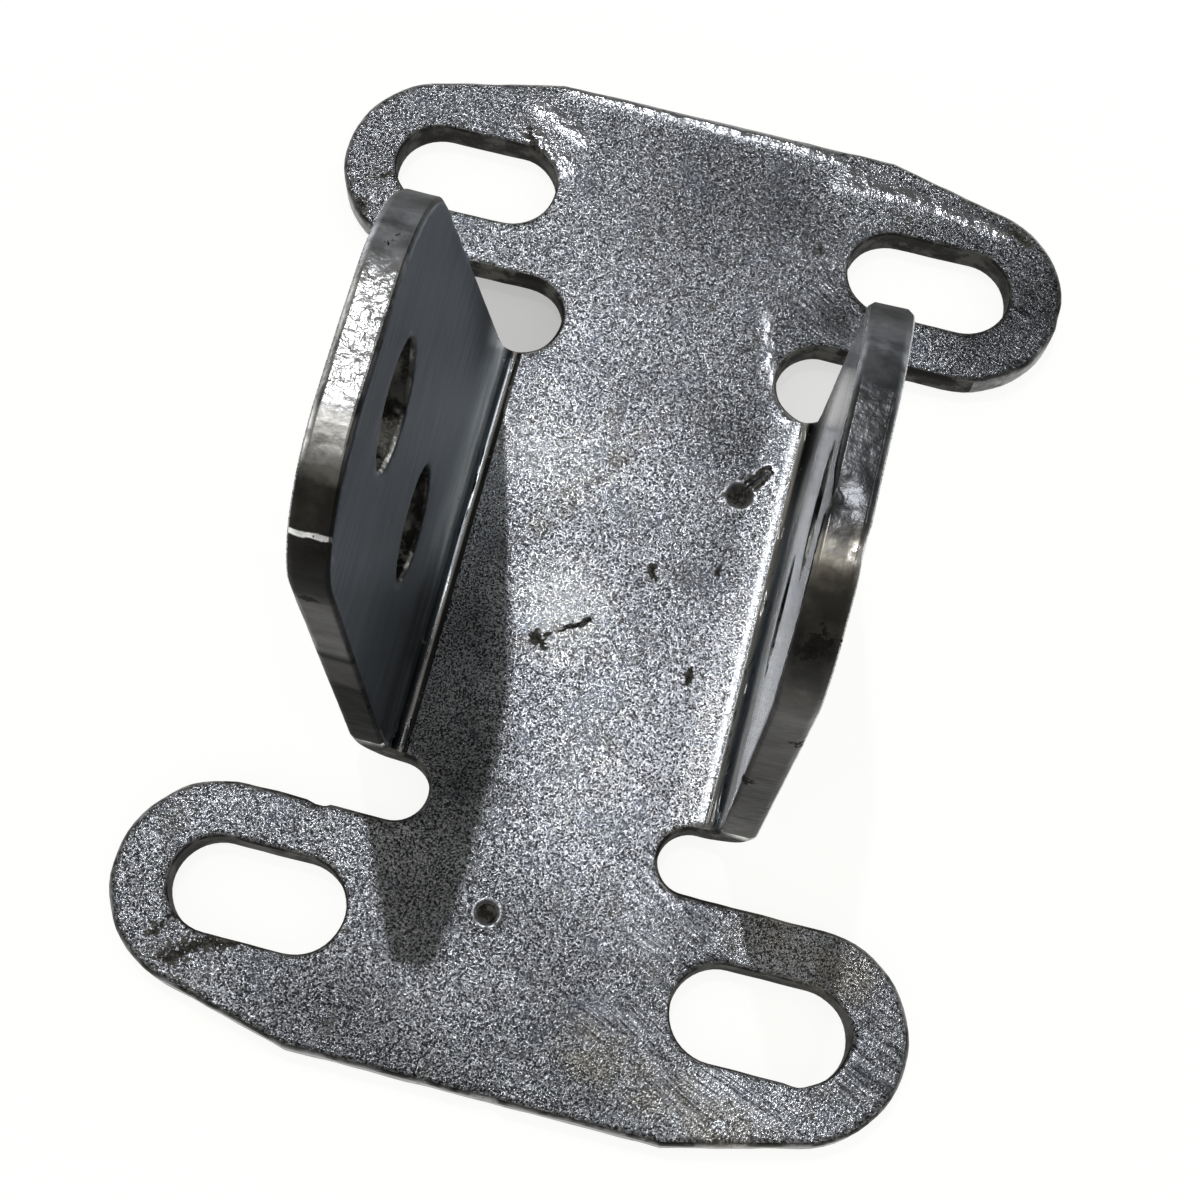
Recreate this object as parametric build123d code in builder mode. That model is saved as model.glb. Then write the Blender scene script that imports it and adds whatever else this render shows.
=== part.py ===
from build123d import *
import os
from collections import Counter

# Sheet and folds
sheet = 5.0                   # thickness of the steel sheet
inside_width = 50.0           # clear width between the two flanges
bend_radius = 3.0             # inside radius of each fold
rim_break = 0.6               # zinc-softened rims of the outline
hole_break = 0.4              # the same round the slots and holes

# Base plate, its long way along Y, with an ear at each corner
plate_length = 158.0
end_flat = 54.5               # straight middle of each end
slot_width = 14.0
slot_length = 25.8            # end to end
slot_pitch_x = 73.5
slot_pitch_y = 119.0
ear_margin = 8.25             # metal left round the outer end of a slot

# Reliefs that free the folds from the ears
front_relief_width = 12.75
front_relief_depth = 4.7      # how far its round end goes in past the bend line
back_relief_width = 9.6
back_relief_depth = 4.8

# Flanges, seen from the side
flange_height = 102.0         # from the underside of the plate
front_lean = 23.8             # how far the front edge comes in, foot to top
back_lean = 3.65              # how far the back edge goes out, foot to top
front_top_radius = 19.0
back_top_radius = 17.0
foot_radius = 12.0            # easing where an edge leaves the fold

# Two holes one above the other in each flange
hole_diameter = 16.0
hole_inset = 20.0             # behind the front top corner
top_hole_drop = 20.7          # below the top edge
hole_spacing = 40.0

# Dents in the upper face of the web
punch_mark_x, punch_mark_y = -4.4, -53.9
punch_mark_diameter = 3.0
punch_mark_depth = 0.7
pit_x, pit_y = 16.1, 17.1
pit_diameter = 3.8
pit_depth = 0.6
pit_tail_length = 5.9         # from the pit's centre
pit_tail_radius = 0.55        # at the pit's centre, tapering to the tip
pit_tail_tip_radius = 0.15
pit_tail_angle = 56.0         # from the X axis, in degrees

# Places worked out from the sizes above
fold_height = sheet + bend_radius
bend_line = inside_width / 2 - bend_radius
outer_width = inside_width + 2 * sheet
ear_radius = slot_width / 2 + ear_margin
ear_x = (slot_pitch_x + slot_length - slot_width) / 2
ear_y = slot_pitch_y / 2
ear_inner_edge = ear_y - ear_radius
front_foot = ear_inner_edge - front_relief_width
back_foot = back_relief_width - ear_inner_edge
front_top = front_foot - front_lean
back_top = back_foot - back_lean
hole_y = front_top - hole_inset
top_hole_z = flange_height - top_hole_drop
lower_hole_z = top_hole_z - hole_spacing
front_relief_middle = ear_inner_edge - front_relief_width / 2
back_relief_middle = back_relief_width / 2 - ear_inner_edge
fold_length = front_relief_middle - back_relief_middle


def ball_radius(diameter, depth):
    """Radius of the ball that leaves a dent of a given diameter and depth in a flat face."""
    return (diameter**2 / 4 + depth**2) / (2 * depth)


def relief_outline(width, depth, middle):
    """The two mirrored slots, open outwards, that one pair of reliefs leaves."""
    round_end_x = bend_line - depth + width / 2
    with Locations((round_end_x, middle)):
        Circle(width / 2)
        Rectangle(outer_width, width, align=(Align.MIN, Align.CENTER))
    mirror(about=Plane.YZ)


def sheet_rims(part):
    """Edges where a face of the sheet meets the cut face round its outline."""
    plate_faces = part.faces().filter_by(Axis.Z).filter_by_position(Axis.Z, 0, sheet)
    flange_faces = part.faces().filter_by(Axis.X)
    fold_faces = part.faces().filter_by(GeomType.CYLINDER).filter_by(
        lambda face: face.axis_of_rotation.is_parallel(Axis.Y)
    )
    uses = Counter(edge for face in plate_faces + flange_faces + fold_faces for edge in face.edges())
    return ShapeList(edge for edge, count in uses.items() if count == 1)


with BuildPart() as bracket:
    # Flat of the base, with a window each side of the web where the flanges fold up
    with BuildSketch():
        with BuildLine():
            end = Line((0, plate_length / 2), (end_flat / 2, plate_length / 2))
            ear_circle = CenterArc((ear_x, ear_y), ear_radius, 0, 360, mode=Mode.PRIVATE)
            slant = ConstrainedLines(
                ear_circle.edge(), end @ 1, selector=lambda lines: lines.sort_by(Axis.Y)[-1]
            )
            shoulder = slant.vertices().sort_by(Axis.X)[-1]
            ThreePointArc(shoulder, (ear_x + ear_radius, ear_y), (ear_x, ear_inner_edge))
            Polyline((ear_x, ear_inner_edge), (ear_x, 0), (0, 0), end @ 0)
        make_face()
        mirror(about=Plane.XZ)
        with Locations((bend_line, front_relief_middle)):
            Rectangle(ear_x, fold_length, align=(Align.MIN, Align.MAX), mode=Mode.SUBTRACT)
        mirror(about=Plane.YZ)
    extrude(amount=sheet)

    # Quarter-round fold along each side of the web
    with BuildSketch(Plane.XZ.offset(-front_relief_middle)):
        with BuildLine():
            inner = CenterArc((bend_line, fold_height), bend_radius, -90, 90)
            outer = CenterArc((bend_line, fold_height), fold_height, -90, 90)
            Line(inner @ 0, outer @ 0)
            Line(inner @ 1, outer @ 1)
        make_face()
        mirror(about=Plane.YZ)
    extrude(amount=fold_length)

    # Flanges standing on the folds, leaning back at the front
    with BuildSketch(Plane.YZ.offset(inside_width / 2)) as flange_side:
        with BuildLine():
            Polyline(
                (front_foot, fold_height),
                (front_top, flange_height),
                (back_top, flange_height),
                (back_foot, fold_height),
                close=True,
            )
        make_face()
        fillet(flange_side.vertices().group_by(Axis.Y)[-1].sort_by(Axis.X)[-1], front_top_radius)
        fillet(flange_side.vertices().group_by(Axis.Y)[-1].sort_by(Axis.X)[0], back_top_radius)
    right_flange = extrude(amount=sheet)
    mirror(right_flange, about=Plane.YZ)

    # Reliefs, cut through the web and the ends of the folds
    with BuildSketch():
        relief_outline(front_relief_width, front_relief_depth, front_relief_middle)
        relief_outline(back_relief_width, back_relief_depth, back_relief_middle)
    extrude(amount=fold_height, mode=Mode.SUBTRACT)

    # Ease the corner where each slanting edge leaves the fold
    across_sheet = bracket.edges().filter_by(Axis.X)
    fillet(across_sheet.filter_by_position(Axis.Z, fold_height, fold_height), foot_radius)

    # Soften the rims of the outline
    chamfer(sheet_rims(bracket), rim_break)

    # Four slots in the ears
    with BuildSketch():
        with GridLocations(slot_pitch_x, slot_pitch_y, 2, 2):
            SlotOverall(slot_length, slot_width)
    extrude(amount=sheet, mode=Mode.SUBTRACT)
    slot_edges = bracket.edges(Select.LAST).group_by(Axis.Z)
    chamfer(slot_edges[0] + slot_edges[-1], hole_break)

    # Flange holes, in line across the bracket
    with BuildSketch(Plane.YZ):
        with Locations((hole_y, top_hole_z), (hole_y, lower_hole_z)):
            Circle(hole_diameter / 2)
    extrude(amount=outer_width / 2, both=True, mode=Mode.SUBTRACT)
    chamfer(bracket.edges(Select.LAST).filter_by(GeomType.CIRCLE), hole_break)

    # Round punch mark
    punch_ball = ball_radius(punch_mark_diameter, punch_mark_depth)
    with Locations((punch_mark_x, punch_mark_y, sheet - punch_mark_depth + punch_ball)):
        Sphere(punch_ball, mode=Mode.SUBTRACT)

    # Pit with a tapering tail, towards the front of the web
    pit_ball = ball_radius(pit_diameter, pit_depth)
    with Locations((pit_x, pit_y, sheet - pit_depth + pit_ball)):
        Sphere(pit_ball, mode=Mode.SUBTRACT)
    tail_way = Vector(1, 0, 0).rotate(Axis.Z, pit_tail_angle)
    with Locations(Plane(origin=(pit_x, pit_y, sheet), z_dir=tail_way)):
        Cone(
            pit_tail_radius, pit_tail_tip_radius, pit_tail_length,
            align=(Align.CENTER, Align.CENTER, Align.MIN), mode=Mode.SUBTRACT,
        )

os.makedirs("parts", exist_ok=True)
bracket.part.label = "bracket"
export_step(bracket.part, "parts/bracket.step")
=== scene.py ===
from math import atan2, ceil, degrees, exp, hypot, radians

import bmesh
import bpy
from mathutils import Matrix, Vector, noise


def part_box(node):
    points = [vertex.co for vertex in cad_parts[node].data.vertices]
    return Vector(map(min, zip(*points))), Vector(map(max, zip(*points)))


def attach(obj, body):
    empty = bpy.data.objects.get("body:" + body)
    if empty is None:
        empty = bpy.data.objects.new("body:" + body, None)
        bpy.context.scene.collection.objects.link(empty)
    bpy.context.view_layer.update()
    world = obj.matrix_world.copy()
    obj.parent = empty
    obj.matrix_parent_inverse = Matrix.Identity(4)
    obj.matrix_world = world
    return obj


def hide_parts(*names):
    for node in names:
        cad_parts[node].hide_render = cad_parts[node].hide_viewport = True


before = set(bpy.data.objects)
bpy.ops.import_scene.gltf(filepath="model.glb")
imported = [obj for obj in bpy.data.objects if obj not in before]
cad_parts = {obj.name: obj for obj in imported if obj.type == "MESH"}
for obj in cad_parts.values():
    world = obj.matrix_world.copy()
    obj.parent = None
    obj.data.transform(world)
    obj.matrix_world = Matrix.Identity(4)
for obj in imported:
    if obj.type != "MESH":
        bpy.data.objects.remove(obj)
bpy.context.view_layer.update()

MM = 0.001

# The folded sheet
SHEET = 5 * MM
BEND_RADIUS = 3 * MM
RIM_BREAK = 0.6 * MM
INSIDE_HALF = 25 * MM
BEND_LINE = INSIDE_HALF - BEND_RADIUS
FOLD_TOP = SHEET + BEND_RADIUS
FOLD_ARC = radians(90) * BEND_RADIUS
MID_RADIUS = BEND_RADIUS + SHEET / 2
FLANGE_MID = INSIDE_HALF + SHEET / 2
EAR_INNER_EDGE = 44.25 * MM
RELIEF_START = 31 * MM
RELIEF_DEPTH = 4.8 * MM
SLOT_PITCH = Vector((73.5, 119.0)) * MM
SLOT_HALF = Vector((12.9, 7.0)) * MM
HOLE_Y = -12.3 * MM
HOLE_HEIGHTS = (41.3 * MM, 81.3 * MM)
HOLE_RADIUS = 8 * MM

# How finely its mesh is cut, so that wear can be shaped in it
CELL = 1.15 * MM
FOLD_CELL = 0.45 * MM
FOLD_SLICES = 6
MARK_REACH = 4 * MM
MARK_CUTS = 2
WELD = 0.001 * MM
SLICE_WELD = 0.002 * MM
FLAT_ANGLE = radians(0.3)

# What the material reads from the mesh
ATTRIBUTES = ("cut_edge", "across", "inner_side", "rim_turn", "opening", "tone", "ridge", "scuff", "lip")

# Turn about the middle of a flange, seen from the side, that tells places on its rim apart
RIM_CENTRE = Vector((-14, 50)) * MM
RIM_FIRST, RIM_LAST = -45.0, 255.0

# Place on that rim of a thin painted highlight along a ridge of the left flange, in degrees
RIM_GLINT = 114.6

# Distance that stands for no fold near, for places past the folds' ends
OFF_FOLD = -20 * MM

# Wear in the mesh: the bead along each fold, and the width in millimetres of a mark's lip
BEAD_HEIGHT = 0.26 * MM
LIP_WIDTH = 0.5

# Waves in the zinc, and further ones on cut edges: height and length in millimetres, and seed
WAVES = [(0.05, 14, 1), (0.03, 4, 2)]
EDGE_WAVES = [(0.12, 4, 3), (0.03, 2.5, 4)]

# Unevenness of a raised ridge: share of its height, length in millimetres, and seed
RIDGE_WAVES = [(0.6, 1.5, 6)]

# Darkest that overlapping broad areas of painted light and shade make the plate
DARKEST_SHADE_AND_TONE = -0.85

# Grain of the zinc, scratches on the plate, streaks and rubbed lines inside the flanges
GRAIN = 0.27 * MM
GRAIN_DEPTH = 0.13 * MM
SCRATCH_SIZE = (8 * MM, 0.34 * MM, 0.34 * MM)
SCRATCH_TURN = radians(-26)
STREAK_SIZE = (1.1 * MM, 14 * MM, 1.1 * MM)
STREAK_TURN = 0.12
RUB_SIZE = (0.5 * MM, 9 * MM, 0.5 * MM)
RUB_TURN = 0.25

# Colours of the zinc, of what lies on it, and of painted highlights, light and shade
DARK_GRAIN = (0.050, 0.053, 0.061, 1)
LIGHT_GRAIN = (0.68, 0.70, 0.75, 1)
BLUISH = (0.22, 0.245, 0.30, 1)
BROWNISH = (0.17, 0.165, 0.15, 1)
# Painted highlight along the start of the right fold
FOLD_HIGHLIGHT = (0.58, 0.59, 0.61, 1)
CRINKLED = (0.45, 0.46, 0.49, 1)
SMOOTH_LIP = (0.25, 0.255, 0.27, 1)
# Painted highlight on a thin ridge of the left rim
RIM_GLINT_COLOUR = (0.75, 0.75, 0.75, 1)
DARK_EDGE = (0.05, 0.05, 0.048, 1)
LIGHT_EDGE = (0.20, 0.20, 0.205, 1)
# Painted shade inside the openings, and painted light in patches on their walls
SHADED_WALL = (0.022, 0.021, 0.019, 1)
LIT_WALL = (0.70, 0.70, 0.67, 1)
DARK_STAIN = (0.09, 0.080, 0.060, 1)
LIGHT_STAIN = (0.42, 0.39, 0.32, 1)
DARK_DIRT = (0.02, 0.019, 0.017, 1)
LIGHT_DIRT = (0.09, 0.086, 0.078, 1)

# Camera, at the photograph's viewing angle
CAMERA_PLACE = Vector((15.885, -107.029, 320.084)) * MM
CAMERA_TURN = [radians(angle) for angle in (18.1714, -1.7102, 14.1825)]
CAMERA_LENS = 66.859
CAMERA_SENSOR = 36.0
CAMERA_NEAR = 10 * MM

# Table: how it glows to the eye, and the shade under the front end of each fold
FLOOR_HALF = 3.0
FLOOR_COLOUR = (0.8, 0.8, 0.8, 1)
GLOW_COLOUR = (1, 1, 0.985, 1)
GLOW_STRENGTH = 1.12
GLOW_SHARE = 0.8
SHADE_PLACE = Vector((24, 38)) * MM
SHADE_INNER, SHADE_OUTER = 8 * MM, 14 * MM
SHADE_LEFT, SHADE_RIGHT = 0.52, 0.30

# Backdrop: how bright the metal sees it near the horizon and above, and its light on the rest
HORIZON_STRENGTH = 0.5
CEILING_STRENGTH = 0.13
ROOM_STRENGTH = 0.6
ROOM_COLOUR = (1, 0.975, 0.91, 1)

# Lights
KEY_DIRECTION = Vector((-0.17, 0.32, 1.0))
KEY_WIDTH = radians(1.2)
KEY_STRENGTH = 0.56
KEY_COLOUR = (0.97, 0.98, 1.0)
WINDOW_DIRECTION = Vector((0.60, 0.32, 0.73))
WINDOW_WIDTH = radians(12)
WINDOW_STRENGTH = 0.12
WINDOW_COLOUR = (0.93, 0.97, 1.0)

# Bright patch of the backdrop overhead, from its edge to full: cosines of the angle from its middle
OVERHEAD_DIRECTION = Vector((-0.18, -0.07, 0.98))
OVERHEAD_EDGE, OVERHEAD_FULL = 0.972, 0.990
OVERHEAD_STRENGTH = 0.75

# From here on, places and lengths in the tables are in millimetres from the origin

# Marks in the upper face of the web, each with the radius and height of its raised lip
PUNCH_MARK = ((-4.4, -53.9, 5.0), 2.0, 0.28)
PIT = ((16.1, 17.1, 5.0), 2.3, 0.18)

# Small dents in the rims: place, reach and depth
DENTS = [
    ((-26.5, 30.4, 12.0), 2.6, 0.9),
    ((2.0, -79.0, 4.5), 2.2, 0.6),
    ((-32.0, -44.3, 4.5), 1.8, 0.8),
    ((57.0, 59.3, 4.5), 2.2, 0.5),
    ((25.2, -18.0, 102.0), 3.2, 0.6),
    ((30.0, -23.5, 102.0), 3.0, 0.4),
    ((43.7, -65.5, 3.5), 2.5, 0.6),
    ((49.5, -58.0, 3.5), 2.5, 0.7),
]

# Raised bright crinkled zinc on the plate: start, end, reach and height
RIDGES = [
    ((-25.5, 78.3, 5), (17.0, 77.3, 5), 1.9, 0.22),
    ((17.0, 77.3, 5), (24.0, 74.5, 5), 1.2, 0.10),
    ((19.7, 72.9, 5), (30.0, 73.6, 5), 2.4, 0.14),
    ((30.0, 73.6, 5), (47.0, 70.6, 5), 1.9, 0.10),
    ((-29.5, 68.5, 5), (-23.5, 64.5, 5), 3.4, 0.12),
    ((-30.0, 74.0, 5), (-22.0, 70.0, 5), 2.6, 0.10),
    ((-22.0, 42.6, 5), (-19.0, 34.0, 5), 1.3, 0.12),
    ((13.5, 47.5, 5), (15.6, 40.0, 5), 1.4, 0.02),
    ((15.6, 40.0, 5), (20.5, 30.5, 5), 1.5, 0.03),
]

# Broad lighter and darker areas, mostly painted light and shade that follow the key lamp's highlight and the
# flanges' shadows, partly the zinc's own tone: place, radius and how much lighter
PAINTED_LIGHT_AND_TONES = [
    ((54, 61, 5), 26, -0.80),
    ((34, 51, 5), 14, -0.15),
    ((46, 51, 5), 10, -0.30),
    ((38, 70, 5), 12, -0.35),
    ((24, 48, 5), 12, -0.75),
    ((15, 42, 5), 9, -0.25),
    ((14, 66, 5), 22, -0.60),
    ((-6, 74, 5), 22, -0.40),
    ((-2, 54, 5), 14, -0.20),
    ((-12, 56, 5), 20, -0.05),
    ((-36, 70, 5), 16, -0.25),
    ((-54, 60, 5), 18, -0.35),
    ((-15, 37, 5), 14, 0.40),
    ((6, 38, 5), 20, -0.20),
    ((-16, 17, 5), 16, 0.90),
    ((15, 26, 5), 13, -0.55),
    ((17, 8, 5), 12, -0.30),
    ((0, 14, 5), 16, 0.40),
    ((-7, -6, 5), 12, 1.30),
    ((4, -17, 5), 20, 0.55),
    ((4, -36, 5), 16, 0.55),
    ((-17, -12, 5), 9, -0.40),
    ((-13, -36, 5), 12, -0.60),
    ((-13, -54, 5), 13, -0.40),
    ((0, -52, 5), 10, -0.25),
    ((8, -58, 5), 14, -0.25),
    ((24, -52, 5), 10, -0.30),
    ((14, -72, 5), 20, -0.50),
    ((-10, -76, 5), 18, -0.55),
    ((-28, -73, 5), 18, -0.55),
    ((-36, -51, 5), 10, -0.25),
    ((-53, -63, 5), 18, -0.30),
    ((30, -58, 5), 14, -0.20),
    ((46, -52, 5), 9, -0.25),
    ((38, -74, 5), 14, 0.35),
    ((40, -48.5, 5), 9, 0.50),
    ((56, -58, 5), 16, -0.35),
]

# Smooth lips of the marks, where the zinc has no grain: start, end and reach
LIPS = [
    ((16.1, 17.1, 5), (16.1, 17.1, 5), 3.1),
    ((16.6, 17.8, 5), (19.3, 21.8, 5), 1.7),
    ((-4.4, -53.9, 5), (-4.4, -53.9, 5), 2.8),
]

# Areas rubbed with fine scratches: start, end and reach
SCUFF_SPOTS = [
    ((20, -48, 5), (27, -54, 5), 10),
    ((44, -58, 5), (56, -62, 5), 12),
    ((18, -66, 5), (42, -76, 5), 9),
    ((23, 51, 5), (20, 56, 5), 9),
    ((56, 55, 5), (56, 55, 5), 15),
]

# Ragged dark dirt and bare steel: start, end and reach
DIRT = [
    ((-47.0, -71.5, 5), (-41.0, -67.2, 5), 2.3),
    ((-42.0, -68.0, 5), (-37.5, -66.9, 5), 1.5),
    ((-49.5, -68.5, 5), (-47.0, -64.8, 5), 1.2),
    ((-50.7, 55.7, 5), (-50.7, 55.7, 5), 1.8),
    ((-53.2, 50.3, 5), (-52.6, 49.3, 5), 1.6),
    ((47.4, 71.9, 5), (50.4, 70.4, 5), 1.9),
    ((-30.5, 69.0, 5), (-28.6, 66.0, 5), 2.0),
    ((18.8, 61.2, 5), (19.0, 60.6, 5), 1.2),
    ((-32.0, -44.8, 5), (-31.6, -45.2, 5), 1.2),
    ((15.4, -11.6, 5), (15.2, -13.4, 5), 1.1),
    ((6.0, 2.4, 5), (6.8, 1.0, 5), 1.3),
    ((15.6, 4.7, 5), (15.6, 4.2, 5), 1.0),
    ((-24.6, 2.8, 102), (-25.2, 2.4, 102), 1.3),
    ((-26.9, 0.0, 101.5), (-27.4, -1.6, 102), 1.3),
    ((26.2, 4.4, 102), (26.3, 4.3, 102), 0.9),
    ((28.1, 4.4, 102), (28.2, 4.3, 102), 0.9),
    ((-8.6, -12.4, 5), (-7.0, -13.0, 5), 1.4),
    ((-26.5, -36.3, 94.3), (-26.0, -36.6, 93.4), 2.4),
    ((-25.2, -37.9, 91.3), (-25.4, -38.2, 89.7), 1.8),
    ((-28.0, -37.6, 82.0), (-27.8, -37.5, 81.2), 1.6),
    ((27.2, -34.6, 96.4), (28.5, -33.4, 97.6), 2.6),
    ((29.6, -37.1, 70.9), (30.0, -37.1, 69.9), 1.6),
    ((25.0, -36.0, 43.6), (25.6, -36.1, 45.6), 2.0),
]

# Fine dark cracks in the zinc, and brown stains: start, end and reach
CRACKS = [
    ((-6.9, -11.8, 5), (-4.4, -10.3, 5), 0.45),
    ((-4.2, -9.9, 5), (-2.6, -9.3, 5), 0.7),
    ((-2.4, -9.0, 5), (-1.3, -7.9, 5), 0.9),
    ((16.4, 19.3, 5), (18.7, 22.4, 5), 0.7),
    ((17.9, 18.2, 5), (19.7, 21.3, 5), 0.5),
    ((19.3, 22.6, 5), (19.9, 21.9, 5), 0.7),
    ((16.1, 17.1, 5), (16.1, 17.1, 5), 2.7),
    ((-4.4, -53.9, 5), (-4.4, -53.9, 5), 2.1),
]
STAINS = [
    ((-9.5, -14.5, 5), (-4.5, -11.0, 5), 3.0),
    ((-13.2, 3.6, 5), (-0.7, 22.0, 5), 3.0),
    ((33.0, -47.0, 5), (48.0, -50.0, 5), 6.0),
    ((14, -69, 5), (40, -76, 5), 6.0),
]

# Rims of the flanges from the front foot, over the top, to the back foot:
# turn in degrees, grey level, warmth, how strongly the zinc is crinkled and how sooty it is
# The grey levels are partly the zinc's own mottling and soot, partly painted highlight near the top and
# painted shade on the darkest stretches
LEFT_RIM = [
    (50, 0.05, -0.12, 0.3, 0.6),
    (66, 0.06, -0.12, 0.3, 0.6),
    (70, 0.10, -0.12, 0.3, 0.2),
    (73, 0.22, -0.12, 0.3, 0.0),
    (76, 0.40, -0.10, 0.4, 0.0),
    (79, 0.60, -0.05, 0.8, 0.0),
    (82, 0.56, 0.0, 2.0, 0.0),
    (96.5, 0.56, 0.0, 2.0, 0.0),
    (98.0, 0.25, 0.0, 0.8, 0.0),
    (99.3, 0.25, 0.0, 0.6, 0.0),
    (100.8, 0.95, 0.0, 0.5, 0.0),
    (104.0, 0.98, 0.0, 0.5, 0.0),
    (106.0, 0.20, 0.08, 0.5, 0.2),
    (108.5, 0.025, 0.15, 0.6, 0.85),
    (113.9, 0.02, 0.10, 0.6, 0.9),
    (116.0, 0.010, 0.10, 0.3, 0.9),
    (125, 0.010, 0.10, 0.4, 0.9),
    (128, 0.05, 0.08, 0.4, 0.4),
    (160, 0.055, 0.08, 0.4, 0.3),
    (167, 0.010, 0.0, 0.4, 0.95),
    (171, 0.035, 0.15, 0.4, 0.6),
    (200, 0.025, 0.15, 0.6, 0.7),
    (206, 0.006, 0.10, 1.0, 0.95),
    (250, 0.010, 0.10, 1.0, 0.95),
]
RIGHT_RIM = [
    (50, 0.04, -0.10, 0.3, 0.85),
    (66, 0.04, -0.10, 0.3, 0.85),
    (69, 0.07, -0.10, 0.3, 0.5),
    (72, 0.12, -0.14, 0.4, 0.1),
    (75, 0.30, -0.14, 0.4, 0.0),
    (79, 0.26, -0.10, 0.5, 0.0),
    (82, 0.12, -0.05, 0.8, 0.0),
    (90, 0.12, -0.05, 0.8, 0.0),
    (97, 0.08, -0.05, 0.7, 0.0),
    (99, 0.14, 0.0, 0.6, 0.0),
    (100.6, 0.85, 0.08, 0.5, 0.0),
    (102.2, 0.80, 0.10, 0.4, 0.0),
    (104, 0.22, 0.15, 0.3, 0.1),
    (106, 0.07, 0.15, 0.3, 0.4),
    (109, 0.03, 0.15, 0.5, 0.6),
    (113, 0.015, 0.10, 0.5, 0.9),
    (117, 0.025, 0.05, 0.4, 0.5),
    (121, 0.055, 0.10, 0.4, 0.25),
    (135, 0.045, 0.10, 0.4, 0.3),
    (170, 0.035, 0.10, 0.6, 0.45),
    (250, 0.035, 0.10, 1.0, 0.5),
]

# Inner faces from the bend line up, painted in bands of highlight, reflection and shade: distance, then
# colour at the light end of the band, the left flange's being at the front and the right flange's at the
# back
LEFT_INNER_PAINTED_LIGHT = [
    (0.0, (0.06, 0.06, 0.055)),
    (0.45, (0.06, 0.06, 0.055)),
    (0.60, (0.60, 0.60, 0.60)),
    (0.75, (0.95, 0.96, 0.98)),
    (1.03, (0.95, 0.96, 0.98)),
    (1.19, (0.22, 0.23, 0.25)),
    (1.5, (0.05, 0.055, 0.06)),
    (2.1, (0.05, 0.06, 0.07)),
    (2.5, (0.26, 0.29, 0.33)),
    (2.9, (0.30, 0.34, 0.38)),
    (3.3, (0.70, 0.76, 0.82)),
    (4.2, (0.88, 0.94, 1.0)),
    (6.0, (0.85, 0.92, 1.0)),
    (8.0, (0.65, 0.72, 0.80)),
    (11, (0.33, 0.38, 0.43)),
    (14, (0.24, 0.28, 0.32)),
    (18, (0.15, 0.18, 0.21)),
    (24, (0.14, 0.165, 0.20)),
    (45, (0.115, 0.14, 0.165)),
    (100, (0.10, 0.12, 0.145)),
]
RIGHT_INNER_PAINTED_LIGHT = [
    (0.85, (0.90, 0.90, 0.90)),
    (1.0, (0.62, 0.61, 0.58)),
    (1.3, (0.68, 0.66, 0.61)),
    (1.6, (0.58, 0.57, 0.52)),
    (2.0, (0.32, 0.32, 0.31)),
    (2.4, (0.18, 0.20, 0.22)),
    (3.3, (0.20, 0.22, 0.25)),
    (3.9, (0.55, 0.58, 0.62)),
    (5, (0.90, 0.93, 0.97)),
    (12, (0.97, 0.98, 1.0)),
    (55, (0.95, 0.95, 0.97)),
    (75, (0.55, 0.54, 0.53)),
    (100, (0.28, 0.28, 0.285)),
]


# Shape of the sheet


def depth_in_sheet(point):
    """Height above the sheet's middle surface, towards its upper and inner side."""
    x = abs(point.x)
    if x <= BEND_LINE or x > FLANGE_MID + SHEET or abs(point.y) > EAR_INNER_EDGE - 0.2 * MM:
        return point.z - SHEET / 2
    if point.z >= FOLD_TOP:
        return FLANGE_MID - x
    return MID_RADIUS - hypot(x - BEND_LINE, point.z - FOLD_TOP)


def across_fold(point):
    """Distance along the sheet from the start of the fold, up the inner face of the flange."""
    x, y = abs(point.x), abs(point.y)
    if y > EAR_INNER_EDGE or x < BEND_LINE:
        return x - BEND_LINE if y < EAR_INNER_EDGE else OFF_FOLD
    if point.z >= FOLD_TOP:
        return FOLD_ARC + point.z - FOLD_TOP
    return atan2(x - BEND_LINE, FOLD_TOP - point.z) * BEND_RADIUS


def share_of_rim(turn):
    """A turn about the middle of a flange, in degrees, as a share from 0 to 1 of the whole rim."""
    return (turn - RIM_FIRST) / (RIM_LAST - RIM_FIRST)


def in_opening(point):
    """Whether a point on a cut face is in a slot, a fold relief or a flange hole."""
    x, y = abs(point.x), abs(point.y)
    past_slot = Vector((abs(x - SLOT_PITCH.x / 2), abs(y - SLOT_PITCH.y / 2))) - SLOT_HALF
    slot = max(past_slot) < RIM_BREAK
    relief = RELIEF_START < y < EAR_INNER_EDGE + RIM_BREAK
    relief = relief and BEND_LINE - 2 * RELIEF_DEPTH < x and point.z < FOLD_TOP
    hole = any(hypot(point.y - HOLE_Y, point.z - z) < HOLE_RADIUS + RIM_BREAK for z in HOLE_HEIGHTS)
    return slot or relief or hole and x > BEND_LINE


def swell(point, scale, seed):
    """Smooth random height from -1 to 1 with waves about scale long."""
    return noise.noise(point / scale + Vector((seed, 3 * seed, 7 * seed)))


def waves(point, table):
    """Height of some waves at a point, in the unit of their table."""
    return sum(height * swell(point, length * MM, seed) for height, length, seed in table)


def smooth_step(value, low, high):
    share = min(1, max(0, (value - low) / (high - low)))
    return share * share * (3 - 2 * share)


def closeness(point, start, end, reach):
    """1 on the line from start to end, falling to 0 at the reach from it."""
    start, end = Vector(start) * MM, Vector(end) * MM
    along = end - start
    share = min(1, max(0, (point - start).dot(along) / max(along.length_squared, 1e-12)))
    return max(0, 1 - (point - start - along * share).length / (reach * MM))


def greatest(point, lines):
    """How close a point is to the nearest of some lines."""
    return max(closeness(point, line[0], line[1], line[2]) for line in lines)


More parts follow.
